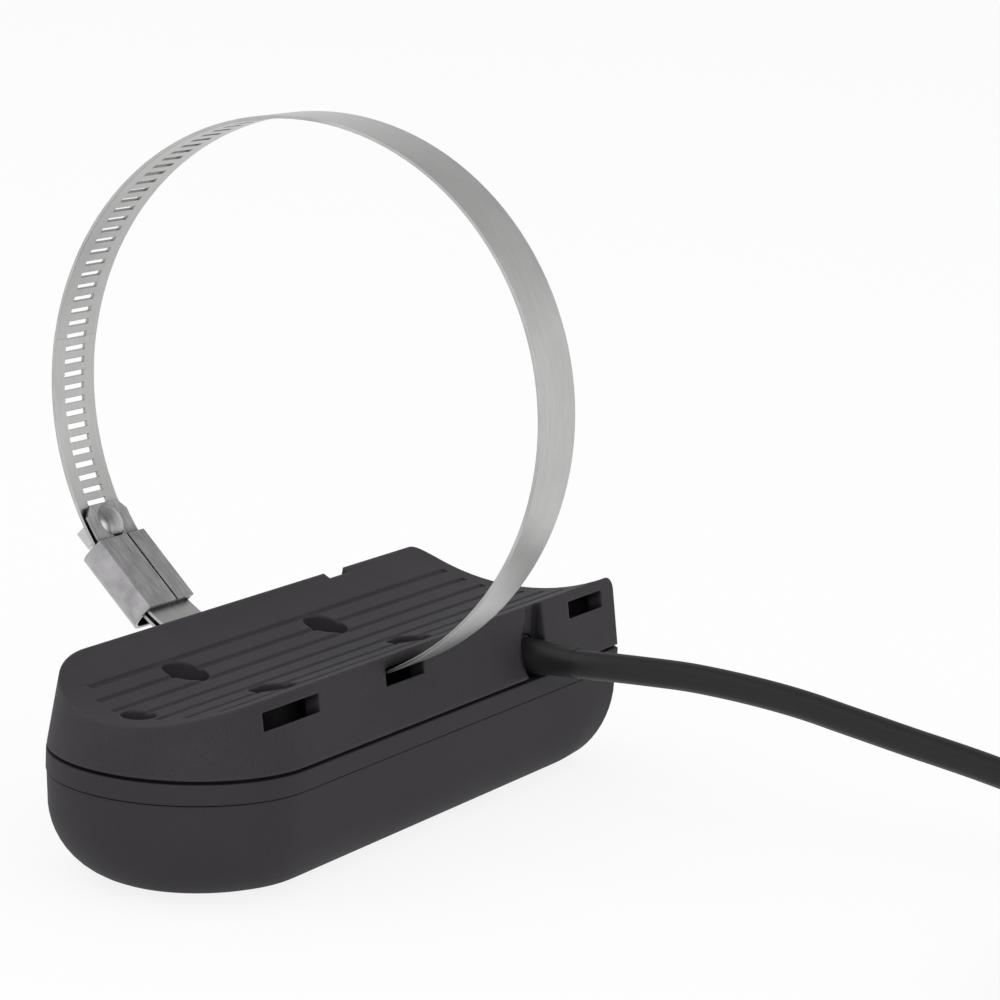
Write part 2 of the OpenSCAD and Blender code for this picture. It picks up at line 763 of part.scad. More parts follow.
// Fluted grip and round mouth of the plug
module plug_shell() {
    mouth_z = plug_grip_len;
    color("#303032") at_plug() translate([0, 0, plug_boot_len]) difference() {
        union() {
            cylinder(h = plug_grip_len, r = plug_r);
            translate([0, 0, mouth_z - eps]) cylinder(h = plug_mouth_len, r = plug_mouth_r);
        }
        for (i = [0:flute_count - 1]) rotate([0, 0, (i + 0.5) * 360 / flute_count])
            translate([plug_r + flute_out, 0, flute_end])
                cylinder(h = plug_grip_len - 2 * flute_end, r = flute_r, $fn = 24);
        translate([0, 0, mouth_z - insert_seat])
            cylinder(h = plug_mouth_len + insert_seat + over, r = plug_bore_r);
        translate([0, 0, -over]) cylinder(h = mouth_z, r = plug_way_r);
        translate([0, 0, mouth_z + plug_mouth_len / 2]) rotate_extrude()
            translate([plug_mouth_r, 0]) circle(seal_r + fit);
    }
}

module plug_seal() {
    color("#8a3b32") at_plug() translate([0, 0, plug_boot_len + plug_grip_len + plug_mouth_len / 2])
        rotate_extrude() translate([plug_mouth_r, 0]) circle(seal_r);
}

module at_insert() {
    at_plug() translate([0, 0, plug_boot_len + plug_grip_len - insert_seat]) children();
}

module at_pins() {
    for (i = [0:pin_count - 1]) rotate([0, 0, i * 360 / pin_count])
        translate([pin_circle_r, 0, 0]) children();
    children();
}

module plug_insert() {
    color("#d9d6cc") at_insert() difference() {
        cylinder(h = insert_len, r = plug_bore_r - fit);
        at_pins() translate([0, 0, pin_root]) cylinder(h = insert_len, r = pin_r + eps);
    }
}

module plug_pins() {
    color("#d2b05a") at_insert() at_pins() translate([0, 0, pin_root]) cylinder(h = pin_len, r = pin_r);
}

// Flat ring of the band's thickness, and a wedge from angle a0 to a1
module ring_2d(r) {
    difference() {
        circle(r + band_t / 2);
        circle(r - band_t / 2);
    }
}

module wedge_2d(a0, a1) {
    steps = 4;
    angles = [for (i = [0:steps]) a0 + i * (a1 - a0) / steps];
    polygon(concat([[0, 0]], [for (a = angles) 2 * band_r * [cos(a), sin(a)]]));
}

// Slotted steel strip: once round the motor, then a tail on a wider circle under the worm
module clamp_band() {
    color("#c3c5c6") difference() {
        translate([0, strap_y, axis_z]) rotate([90, 0, 0]) linear_extrude(band_w, center = true) {
            difference() {
                ring_2d(band_r);
                wedge_2d(tail_from_deg, fixed_deg);
            }
            translate(-tail_grow * [cos(tail_from_deg), sin(tail_from_deg)]) intersection() {
                ring_2d(band_r + tail_grow + tail_step);
                wedge_2d(tail_from_deg - 1.5, tail_to_deg);
            }
        }
        for (a = [perf_from_deg:perf_pitch:tail_to_deg - perf_pitch])
            translate([0, strap_y, axis_z]) rotate([0, -a, 0])
                translate([band_r + perf_out(a), 0, 0])
                    cube([perf_depth(a), perf_len, perf_w], center = true);
    }
}

// Distance of the tail from the ring, and the middle of a slot's cut: through the one layer
// of the band, or through the tail alone where the two overlap
function tail_dev(a) = tail_grow * (1 - cos(a - tail_from_deg)) + tail_step;
function perf_out(a) = a < fixed_deg ? band_t : tail_dev(a) + (perf_depth(a) - band_t - layer_gap) / 2;
function perf_depth(a) = a < fixed_deg ? perf_cut : perf_tail_cut;

// Frame of the worm: X points outwards, Z along the band towards the cradle
module at_worm() {
    translate([0, strap_y, axis_z]) rotate([0, -worm_deg, 0]) children();
}

// Plate inside the ring, under the clamp housing, with a domed tongue on the head's side
module clamp_saddle() {
    from_deg = worm_deg - clamp_half_deg - tongue_deg;
    dome_deg = worm_deg - clamp_half_deg - tongue_deg / 2;
    in_r = saddle_r - saddle_plate_t;
    corner = tongue_chamfer * sqrt(2);
    color("#b4b6b8") translate([0, strap_y, axis_z]) difference() {
        union() {
            rotate([90, 0, 0]) rotate([0, 0, from_deg])
                rotate_extrude(angle = 2 * clamp_half_deg + tongue_deg)
                    translate([in_r, -band_w / 2]) square([saddle_plate_t, band_w]);
            intersection() {
                rotate([0, -dome_deg, 0]) translate([in_r - dome_h + dome_r, 0, 0]) sphere(dome_r);
                rotate([90, 0, 0])
                    cylinder(h = band_w, r = saddle_r - saddle_plate_t / 2, center = true);
            }
        }
        for (side = [-1, 1]) rotate([0, -from_deg, 0]) translate([in_r, side * band_w / 2, 0])
            rotate([45, 0, 0]) cube([4 * saddle_plate_t, corner, corner], center = true);
    }
}

// Section with two round outer corners, from x0 to x1
module arch_2d(x0, x1, half_w, corner) {
    steps = 12;
    function corner_point(a) = [x1 - corner, half_w - corner] + corner * [cos(a), sin(a)];
    arc = [for (i = [0:steps]) corner_point(90 * i / steps)];
    mirrored = [for (i = [steps:-1:0]) [arc[i][0], -arc[i][1]]];
    polygon(concat(mirrored, arc, [[x0, half_w], [x0, -half_w]]));
}

// Folded box over the worm: a collar holds the neck, and two legs meet in a seam inside the ring
module clamp_housing() {
    front = -clamp_len / 2;
    leg_x = leg_top_x - leg_t;
    way_w = clamp_half_w - clamp_t;
    hollow_w = way_w - fit;
    color("#cfd1d2") at_worm() difference() {
        translate([0, 0, front]) linear_extrude(clamp_len)
            arch_2d(leg_x, clamp_top_x, clamp_half_w, clamp_corner_r);
        translate([0, 0, front + collar_t]) linear_extrude(clamp_len)
            arch_2d(collar_x - over, clamp_top_x - clamp_t, hollow_w, clamp_corner_r - clamp_t);
        // Way for the band
        translate([leg_top_x, -way_w, front - over])
            cube([collar_x - leg_top_x, 2 * way_w, clamp_len + 2 * over]);
        translate([worm_r, 0, front - over]) cylinder(h = collar_t + 2 * over, r = neck_r + fit);
        // Seam between the legs
        translate([leg_x - over, leg_seam_y - leg_seam_w / 2, front - over])
            cube([leg_t + 2 * over, leg_seam_w, clamp_len + 2 * over]);
    }
}

// Worm with its neck in the collar and a slotted hexagon head
module worm_screw() {
    front = -clamp_len / 2;
    color("#bfc2c4") at_worm() translate([worm_r, 0, 0]) {
        translate([0, 0, front + collar_t + play])
            cylinder(h = clamp_len - collar_t - 2 * play, r = worm_core_r);
        translate([0, 0, front - neck_len]) cylinder(h = collar_t + neck_len + play, r = neck_r);
        difference() {
            translate([0, 0, front - neck_len - head_len])
                cylinder(h = head_len + eps, r = head_af / 2 / cos(30), $fn = 6);
            translate([0, 0, front - neck_len - head_len])
                cube([2 * head_af, head_slot, 2 * head_slot_depth], center = true);
        }
    }
}

housing_cup();
housing_cover();
mount_cradle();
cradle_screws();
sounding_disc();
disc_foam();
side_bars();
down_bar();
bar_foam();
circuit_board();
board_screws();
tuning_choke();
temperature_probe();
disc_leads();
core_wires();
cable_boot();
cable();
cable_coil();
cable_tail();
cable_tie();
plug_boot();
plug_shell();
plug_seal();
plug_insert();
plug_pins();
clamp_band();
clamp_saddle();
clamp_housing();
worm_screw();
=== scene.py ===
# %% [markdown]
# # A sonar transducer for a trolling motor
# The object is a dark moulded body that listens to the water. A saddle on its top
# sits against the round motor, a slotted steel band holds it there, and a cable leaves
# through a notch in the side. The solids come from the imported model. This lesson gives
# them their finish, reshapes a few of them, lays the cable, and sets up camera and light.

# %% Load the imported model
import math
import bpy
import bmesh
from mathutils import Matrix, Vector


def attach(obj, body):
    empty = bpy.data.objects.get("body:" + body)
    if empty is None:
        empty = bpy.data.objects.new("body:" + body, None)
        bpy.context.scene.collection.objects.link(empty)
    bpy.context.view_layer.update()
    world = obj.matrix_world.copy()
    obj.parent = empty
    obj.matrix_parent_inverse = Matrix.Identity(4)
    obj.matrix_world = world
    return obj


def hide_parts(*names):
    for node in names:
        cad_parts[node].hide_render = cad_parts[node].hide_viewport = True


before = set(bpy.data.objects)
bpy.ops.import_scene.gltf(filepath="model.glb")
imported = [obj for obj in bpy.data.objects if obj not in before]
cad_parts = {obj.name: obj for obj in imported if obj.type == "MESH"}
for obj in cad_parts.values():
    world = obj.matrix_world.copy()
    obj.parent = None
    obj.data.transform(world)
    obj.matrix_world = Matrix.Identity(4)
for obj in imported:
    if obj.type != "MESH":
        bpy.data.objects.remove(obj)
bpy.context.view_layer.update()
scene = bpy.context.scene
scene.view_settings.view_transform = "Standard"
BODY = "transducer"
WORM = "worm"

# %% [markdown]
# ## Two helpers for new pieces
# A new piece is shaped as a bmesh, a mesh that is still being worked on. One helper chooses
# which of its edges look sharp, and the other makes it an object of the scene. Objects stay
# at the origin, so that their place is in the mesh itself.

# %% Soften and settle


def soften(shape, degrees):
    """Shades every face smooth and keeps the edges above this angle sharp."""
    for face in shape.faces:
        face.smooth = True
    for edge in shape.edges:
        closed = len(edge.link_faces) == 2
        edge.smooth = closed and edge.calc_face_angle() < math.radians(degrees)


def settle(shape, name):
    """Makes the finished shape the mesh of a new object."""
    mesh = bpy.data.meshes.new(name)
    shape.to_mesh(mesh)
    shape.free()
    piece = bpy.data.objects.new(name, mesh)
    scene.collection.objects.link(piece)
    return piece


print("helpers ready")

# %% [markdown]
# ## The camera
# A long lens looks at the nose from the front right, a little from above, with a slight
# roll. Three angles give the camera's own axes, and the axes make its matrix.

# %% Place the camera
turn, dip, roll = (math.radians(d) for d in (28.476, 11.126, -2.661))
right = Vector((math.cos(turn), math.sin(turn), 0))
ahead = Vector((-math.sin(turn) * math.cos(dip), math.cos(turn) * math.cos(dip), -math.sin(dip)))
up = right.cross(ahead)
cam_x = right * math.cos(roll) - up * math.sin(roll)
cam_y = right * math.sin(roll) + up * math.cos(roll)
camera = bpy.data.objects.new("camera", bpy.data.cameras.new("camera"))
camera.data.sensor_width = 36
camera.data.lens = 135.7
camera.data.clip_start = 0.05
camera.matrix_world = Matrix((cam_x, cam_y, -ahead)).transposed().to_4x4()
camera.location = (0.351386, -0.584166, 0.195624)
scene.collection.objects.link(camera)
scene.camera = camera
print("camera", [round(c, 3) for c in camera.location])

# %% [markdown]
# ## The cable's route
# The real cable is one long flexible lead. It leaves the gland straight, sinks to the
# floor, and is wound into a neat coil with the plug on top. A few listed points give the
# loose stretches, and a loop gives the turns of the coil. A smooth line through
# the points then becomes one curve with a round bevel. The bevel is one metre deep and
# each point's radius scales it down to the jacket, so the curve's box has the jacket's size.

# %% Points of the loose stretches, in metres
CABLE_D = 0.0057
COIL_CENTRE = Vector((0.207, -0.007, 0))
loose = [(11.1, 37.5, 27.2), (20, 37.5, 27.2), (27, 37.5, 27.2), (33, 37.5, 27.2), (40, 38.9, 27.3),
         (47, 40.7, 27.2), (54, 42.4, 27), (62, 43.8, 26.4), (70, 45, 25.5), (77, 46, 24.4),
         (84, 46.5, 23.1), (91, 47, 21.8), (98, 47.5, 20.5), (105, 48, 19.3), (112, 48.5, 18),
         (120, 49, 16.3), (128, 49.5, 14.2), (136, 49.5, 11.9), (144, 50, 9.6), (152, 50, 7.5),
         (160, 50, 5.7), (168, 50, 4.5), (176, 50, 3.8), (184, 50, 3.5), (193, 50, 3.45)]
tail = [(217, 43.2, 21.2), (226, 40.2, 22.6), (234, 35.6, 24.6), (240.5, 29.8, 27), (245, 23, 29.6),
        (247.4, 16.5, 31.5), (248, 10, 32.4), (248, 0, 32.45), (248, -8, 32.45)]
loose = [Vector(p) / 1000 for p in loose]
tail = [Vector(p) / 1000 for p in tail]
print("loose points", len(loose), "tail points", len(tail))

# %% Turns of the coil, layer by layer
STEPS = 36
OUTER_R, INNER_R, FLOOR_Z = 0.057, 0.0228, 0.00345


def on_ring(r, angle, z):
    return COIL_CENTRE + Vector((r * math.cos(angle), r * math.sin(angle), z))


def winding():
    """Points of the coil, clockwise from its rear side: in, up, out, up, in, up, out."""
    points, angle = [], math.radians(90)
    for layer in range(4):
        inward = layer % 2 == 0
        turns = 6 if layer < 3 else 5
        start = OUTER_R if inward else INNER_R
        z = FLOOR_Z + layer * CABLE_D
        for i in range(turns * STEPS):
            r = start + (-1 if inward else 1) * CABLE_D * i / STEPS
            points.append(on_ring(r, angle, z))
            angle -= 2 * math.pi / STEPS
        if layer < 3:
            r = INNER_R if inward else OUTER_R
            climb = STEPS // 3
            for i in range(climb):
                lift = CABLE_D * (1 - math.cos(math.pi * i / climb)) / 2
                points.append(on_ring(r, angle, z + lift))
                angle -= 2 * math.pi / STEPS
    return points


def smooth_line(points, parts=4):
    """A denser line through the same points, by Catmull-Rom."""
    dense = []
    for i in range(len(points) - 1):
        a, b = points[max(i - 1, 0)], points[i]
        c, d = points[i + 1], points[min(i + 2, len(points) - 1)]
        for k in range(parts):
            t = k / parts
            dense.append(0.5 * (2 * b + (c - a) * t + (2 * a - 5 * b + 4 * c - d) * t * t
                                + (3 * b - a - 3 * c + d) * t ** 3))
    return dense + [points[-1]]


turns = winding()
first = smooth_line(loose + turns[:1])[:-1]
last = smooth_line([turns[-1]] + tail)[1:]
route = first + turns + last
length = sum((b - a).length for a, b in zip(route, route[1:]))
print("cable points", len(route), "length", round(length, 3))

# %% The cable as one curve
cable_curve = bpy.data.curves.new("cable_lead", "CURVE")
cable_curve.dimensions = "3D"
cable_curve.bevel_depth = 1
cable_curve.bevel_resolution = 4
cable_curve.use_fill_caps = True
spline = cable_curve.splines.new("POLY")
spline.points.add(len(route) - 1)
for point, p in zip(spline.points, route):
    point.co = (*p, 1)
    point.radius = CABLE_D / 2
spline.use_smooth = True
cable_lead = bpy.data.objects.new("cable_lead", cable_curve)
scene.collection.objects.link(cable_lead)
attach(cable_lead, BODY)
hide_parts("cable", "cable_coil", "cable_tail")
print("cable laid")

# %% [markdown]
# ## The tie round the coil
# A strip of woven tape holds the turns together. Where it sits, each turn of the coil gets
# a circle on both edges of the tape, and a hull round all the circles is the way that the
# tape takes. The hull's two ends are deleted, and the wall that is left gets a thickness.

# %% Wrap the tie
TIE_AT, TIE_W, TIE_T, TIE_GAP = math.radians(-60), 0.008, 0.0005, 0.00005
out_way = Vector((math.cos(TIE_AT), math.sin(TIE_AT), 0))
side_way = Vector((math.sin(TIE_AT), -math.cos(TIE_AT), 0))
facing = Matrix((out_way, Vector((0, 0, 1)), side_way)).transposed().to_4x4()
wrap = bmesh.new()
met = []
for p, q in zip(turns, turns[1:]):
    a, b = ((v - COIL_CENTRE).dot(side_way) for v in (p, q))
    if a * b <= 0 and a != b and (p - COIL_CENTRE).dot(out_way) > 0:
        met.append(p.lerp(q, a / (a - b)))
        for edge_of_tape in (-TIE_W / 2, TIE_W / 2):
            spot = Matrix.Translation(met[-1] + side_way * edge_of_tape) @ facing
            bmesh.ops.create_circle(wrap, segments=24, radius=CABLE_D / 2 + TIE_GAP, matrix=spot)
hull = bmesh.ops.convex_hull(wrap, input=wrap.verts[:])
left_over = dict.fromkeys(hull["geom_interior"] + hull["geom_unused"])
inside = [g for g in left_over if isinstance(g, bmesh.types.BMVert)]
bmesh.ops.delete(wrap, geom=inside, context="VERTS")
ends = [f for f in wrap.faces if abs(f.normal.dot(side_way)) > 0.9]
bmesh.ops.delete(wrap, geom=ends, context="FACES")
bmesh.ops.delete(wrap, geom=[e for e in wrap.edges if e.is_wire], context="EDGES")
bmesh.ops.recalc_face_normals(wrap, faces=wrap.faces)
if max(wrap.faces, key=lambda f: f.calc_center_median().z).normal.z < 0:
    bmesh.ops.reverse_faces(wrap, faces=wrap.faces)
bmesh.ops.solidify(wrap, geom=wrap.faces[:], thickness=-TIE_T)
bmesh.ops.recalc_face_normals(wrap, faces=wrap.faces)
soften(wrap, 40)
print("turns under the tie", len(met), "faces", len(wrap.faces))

# %% The tie's head
HEAD, HEAD_BITE, HEAD_ROUND = Vector((0.004, 0.005, 0.009)), 0.0001, 0.0006
outermost = max(met, key=lambda p: (p - COIL_CENTRE).dot(out_way))
head_at = outermost + out_way * (CABLE_D / 2 + TIE_T + HEAD.x / 2 - HEAD_BITE)
head_place = Matrix.Translation(head_at) @ facing @ Matrix.Diagonal((*HEAD, 1))
head = bmesh.ops.create_cube(wrap, size=1, matrix=head_place)["verts"]
head_edges = list(dict.fromkeys(e for v in head for e in v.link_edges))
bmesh.ops.bevel(wrap, geom=head_edges, offset=HEAD_ROUND, affect="EDGES", segments=3,
                profile=0.5, material=-1)
tie_strap = settle(wrap, "tie_strap")
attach(tie_strap, BODY)
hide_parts("cable_tie")
print("tie box", [round(1000 * d, 1) for d in tie_strap.dimensions])

# %% [markdown]
# ## A small kit for finishes
# Every finish is a Principled shader fed by procedural patterns. One class wraps a
# socket, so that patterns can be added and multiplied as plain expressions, and one
# method makes every other node.

# %% The shader kit


class Wire:
    """An output socket of a finish. Sums and products on it add Math nodes."""

    def __init__(self, finish, socket):
        self.finish, self.socket = finish, socket

    def math(self, operation, a, b):
        return self.finish.node("ShaderNodeMath", {"operation": operation}, {0: a, 1: b})

    def __add__(self, other):
        return self.math("ADD", self, other)

    def __radd__(self, other):
        return self.math("ADD", other, self)

    def __sub__(self, other):
        return self.math("SUBTRACT", self, other)

    def __rsub__(self, other):
        return self.math("SUBTRACT", other, self)

    def __mul__(self, other):
        return self.math("MULTIPLY", self, other)

    def __rmul__(self, other):
        return self.math("MULTIPLY", other, self)


class Finish:
    """A material with a Principled shader and the patterns that feed it."""

    def __init__(self, name):
        self.material = bpy.data.materials.new(name)
        self.material.use_nodes = True
        self.tree = self.material.node_tree
        self.shader = next(n for n in self.tree.nodes if n.type == "BSDF_PRINCIPLED")

    def node(self, kind, settings=None, sockets=None, out=0):
        made = self.tree.nodes.new(kind)
        for name, value in (settings or {}).items():
            setattr(made, name, value)
        for name, value in (sockets or {}).items():
            self.feed(made.inputs[name], value)
        return Wire(self, made.outputs[out])

    def feed(self, socket, value):
        if isinstance(value, Wire):
            self.tree.links.new(value.socket, socket)
        else:
            socket.default_value = value

    def set(self, **values):
        for name, value in values.items():
            self.feed(self.shader.inputs[name.replace("_", " ")], value)
        return self

    def place(self):
        return self.node("ShaderNodeTexCoord", out="Object")

    def noise(self, scale, detail=3.0, roughness=0.5, vector=None):
        return self.node("ShaderNodeTexNoise", sockets={
            "Vector": vector or self.place(), "Scale": scale, "Detail": detail,
            "Roughness": roughness})

    def blend(self, amount, a, b):
        colours = {0: amount, 6: (*a, 1), 7: (*b, 1)}
        return self.node("ShaderNodeMix", {"data_type": "RGBA"}, colours, out=2)

    def edge(self, radius):
        """About 0.3 on a sharp edge and 0 away from it. It places a painted highlight on plastic
        edges and painted shade on steel edges.
        """
        rounded = self.node("ShaderNodeBevel", {"samples": 6}, {"Radius": radius})
        flat = self.node("ShaderNodeNewGeometry", out="Normal")
        return 1 - self.node("ShaderNodeVectorMath", {"operation": "DOT_PRODUCT"},
                             {0: rounded, 1: flat}, out="Value")

    def crease(self, distance):
        """0 on open surfaces, rising towards 1 in corners and grooves. It places painted shade
        there.
        """
        return 1 - self.node("ShaderNodeAmbientOcclusion", {"samples": 8},
                             {"Distance": distance}, out="AO")

    def shown(self):
        """1 on camera, mirror and glass rays, 0 on the rays that carry light to the pieces."""
        rays = self.node("ShaderNodeLightPath").socket.node.outputs
        names = ("Is Camera Ray", "Is Glossy Ray", "Is Transmission Ray")
        return sum(Wire(self, rays[n]) for n in names)

    def relief(self, height, distance, strength=1.0, round_edges=0.0):
        sockets = {"Height": height, "Distance": distance, "Strength": strength}
        if round_edges:
            sockets["Normal"] = self.node("ShaderNodeBevel", {"samples": 8},
                                          {"Radius": round_edges})
        return self.node("ShaderNodeBump", None, sockets)


def dress(node_name, finish):
    """Gives a carried-over solid its finish."""
    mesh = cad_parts[node_name].data
    mesh.materials.clear()
    mesh.materials.append(finish.material)


print("kit ready")

# %% [markdown]
# ## The rounded cup
# The lower shell is a tub with a round nose. Its wall runs into the sole in one soft bend,
# which is longer at the nose and at the rear. One loop round the rim is extruded down ring
# by ring, each ring is scaled in a little more, and a wall thickness makes it a shell.

# %% Loop round the rim
RIM_Z, RIM_HALF, BEND_Z, BEND = 0.0192, 0.02435, 0.010, 0.010
NOSE_Y, TIP_Y, REAR_Y, CORNER = -0.0472, -0.0717, 0.0717, 0.0012
tub = bmesh.new()
first_vert = tub.verts.new((-RIM_HALF, NOSE_Y, RIM_Z))
bmesh.ops.spin(tub, geom=[first_vert], cent=(0, NOSE_Y, RIM_Z), axis=(0, 0, 1), angle=math.pi,
               steps=64)
chain = [max(tub.verts, key=lambda v: v.co.x)]
for x, y in ((RIM_HALF, REAR_Y - CORNER), (RIM_HALF - CORNER, REAR_Y),
             (CORNER - RIM_HALF, REAR_Y), (-RIM_HALF, REAR_Y - CORNER)):
    chain.append(tub.verts.new((x, y, RIM_Z)))
for a, b in zip(chain, chain[1:] + [first_vert]):
    tub.edges.new((a, b))
SIDE_MIN, SIDE_CUTS = 0.05, 40
side_edges = [e for e in tub.edges if e.calc_length() > SIDE_MIN
              and abs(e.verts[0].co.x - e.verts[1].co.x) < 1e-6]
bmesh.ops.subdivide_edges(tub, edges=side_edges, cuts=SIDE_CUTS)
print("rim points", len(tub.verts))

# %% Rings down to the sole
DRAFT, NOSE_RUN, REAR_RUN, BEND_STEPS = 0.00024, 0.0155, 0.010, 14


def ring_size(draft, share):
    """Half width, tip and rear of a ring that has gone this share of its way inwards."""
    tip_y = TIP_Y + draft + NOSE_RUN * share
    return RIM_HALF - draft - BEND * share, tip_y, REAR_Y - REAR_RUN * share


ring = list(tub.edges)
last_half, last_tip, last_rear = ring_size(0, 0)
for step in range(BEND_STEPS + 1):
    bend = math.radians(90 * step / BEND_STEPS)
    half, tip, rear = ring_size(DRAFT, 1 - math.cos(bend))
    grown = bmesh.ops.extrude_edge_only(tub, edges=ring)["geom"]
    ring = [g for g in grown if isinstance(g, bmesh.types.BMEdge)]
    for v in grown:
        if isinstance(v, bmesh.types.BMVert):
            along = (v.co.y - last_tip) / (last_rear - last_tip)
            v.co.x *= half / last_half
            v.co.y = tip * (1 - along) + rear * along
            v.co.z = BEND_Z - BEND * math.sin(bend)
    last_half, last_tip, last_rear = half, tip, rear
sole_face = bmesh.ops.contextual_create(tub, geom=ring)["faces"]
print("rings", BEND_STEPS + 1, "sole corners", len(sole_face[0].verts))

# %% Lift the bend at both ends and give the tub its wall
END_LIFT, TUB_WALL = 0.6, 0.0028
NOSE_REACH, NOSE_SPAN, REAR_SPAN = 0.006, 0.030, 0.016


def ease(t):
    t = min(1, max(0, t))
    return t * t * (3 - 2 * t)


for v in tub.verts:
    if v.co.z < RIM_Z - 1e-6:
        at_nose = ease((NOSE_Y + NOSE_REACH - v.co.y) / NOSE_SPAN)
        at_rear = ease((v.co.y - REAR_Y + REAR_SPAN) / REAR_SPAN)
        v.co.z *= 1 + END_LIFT * max(at_nose, at_rear)
bmesh.ops.recalc_face_normals(tub, faces=tub.faces)
if max(tub.faces, key=lambda f: f.calc_area()).normal.z > 0:
    bmesh.ops.reverse_faces(tub, faces=tub.faces)
bmesh.ops.solidify(tub, geom=list(tub.faces), thickness=TUB_WALL)
for v in tub.verts:
    v.co.z = min(v.co.z, RIM_Z)
bmesh.ops.recalc_face_normals(tub, faces=tub.faces)
soften(tub, 32)
cup_shell = settle(tub, "cup_shell")
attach(cup_shell, BODY)
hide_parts("housing_cup")
print("cup faces", len(cup_shell.data.polygons))

# %% [markdown]
# ## The rounded horns of the cradle
# The two rear tips of the saddle are rounded on the real moulding. A copy of the solid is
# merged, and a fan of planes takes the tips off one after the other. Each plane leaves an
# open cut, which is filled at once, so the copy stays closed.

# %% Cut the tips
HORN_R = 0.0028
HORN_AT = Vector((0, 0.0705, 0.03735))
cradle = bmesh.new()
cradle.from_mesh(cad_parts["mount_cradle"].data)
bmesh.ops.remove_doubles(cradle, verts=cradle.verts, dist=1e-6)
horn_centre = HORN_AT - Vector((0, HORN_R, HORN_R))
for degrees in range(10, 90, 10):
    normal = Vector((0, math.cos(math.radians(degrees)), math.sin(math.radians(degrees))))
    everything = cradle.verts[:] + cradle.edges[:] + cradle.faces[:]
    cut = bmesh.ops.bisect_plane(cradle, geom=everything, dist=1e-7, plane_no=normal,
                                 plane_co=horn_centre + normal * HORN_R, clear_outer=True)
    rim = [g for g in cut["geom_cut"] if isinstance(g, bmesh.types.BMEdge)]
    bmesh.ops.triangle_fill(cradle, use_beauty=True, edges=rim)
bmesh.ops.recalc_face_normals(cradle, faces=cradle.faces)
soften(cradle, 18)
open_edges = sum(1 for e in cradle.edges if len(e.link_faces) != 2)
cradle_moulding = settle(cradle, "cradle_moulding")
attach(cradle_moulding, BODY)
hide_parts("mount_cradle")
print("cradle faces", len(cradle_moulding.data.polygons), "open edges", open_edges)

# %% [markdown]
# ## The cable's sleeve
# Where the cable leaves the notch, its jacket swells into a short sleeve. A line of points
# is spun round the cable's axis, and its tip runs out to almost nothing.

# %% Spin the sleeve
sleeve_line = [(20.7, 2.88), (20.7, 3.4), (23.8, 3.4), (25.2, 3.3), (26.6, 3.12), (28.4, 3.0),
               (30.4, 2.93), (32.2, 2.88)]
EXIT_Y, EXIT_Z = 0.0375, 0.0272
turning = bmesh.new()
line = [turning.verts.new((x / 1000, EXIT_Y, EXIT_Z + r / 1000)) for x, r in sleeve_line]
edges = [turning.edges.new(pair) for pair in zip(line, line[1:] + line[:1])]
bmesh.ops.spin(turning, geom=line + edges, cent=(0, EXIT_Y, EXIT_Z), axis=(1, 0, 0),
               angle=2 * math.pi, steps=48, use_merge=True)
bmesh.ops.remove_doubles(turning, verts=turning.verts, dist=1e-7)
bmesh.ops.recalc_face_normals(turning, faces=turning.faces)
soften(turning, 40)
cable_sleeve = settle(turning, "cable_sleeve")
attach(cable_sleeve, BODY)
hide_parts("cable_boot")
print("sleeve faces", len(cable_sleeve.data.polygons))

# %% [markdown]
# ## Moulded plastic
# Body and cradle come from spark-eroded moulds, which leave a very fine, even grain and a
# soft sheen. A slow pattern varies the tone a little, and a fast one gives the grain. Edges
# get a painted highlight and hollows a painted shade, and a bevel in the normal rounds
# every edge.

# %% Charcoal plastic for body and cradle


def moulded(name, dark, light, grain, edge, painted_edge_light=0.6, hollow=0.003, shade=0.4):
    f = Finish(name)
    cloud = f.noise(60, 4)
    speck = f.noise(grain, 2)
    # Lighter edges are a painted highlight, and darker hollows are painted shade.
    mark = 0.125 + cloud * 0.25 + speck * 0.2 + f.edge(edge) * painted_edge_light - f.crease(hollow) * shade
    tone = f.blend(mark, dark, light)
    height = speck * 0.75 + f.noise(grain * 0.37, 2) * 0.25
    f.set(Base_Color=tone, Roughness=0.62 + cloud * 0.14 - speck * 0.06,
          Normal=f.relief(height, 0.00004, 0.35, edge))
    f.shader.inputs["Specular IOR Level"].default_value = 0.15
    return f


body_plastic = moulded("body_plastic", (0.0225, 0.0203, 0.0232), (0.058, 0.0523, 0.0599),
                       2400, 0.0006)
# The cradle gets a stronger painted highlight on its edges and deeper painted shade in its grooves.
cradle_plastic = moulded("cradle_plastic", (0.0130, 0.0117, 0.0134), (0.085, 0.0767, 0.0878),
                         2100, 0.0009, painted_edge_light=1.0, hollow=0.0018, shade=1.0)
for name in ("housing_cup", "housing_cover"):
    dress(name, body_plastic)
dress("mount_cradle", cradle_plastic)
cup_shell.data.materials.append(body_plastic.material)
cradle_moulding.data.materials.append(cradle_plastic.material)
print("plastic on cup, cover and cradle")
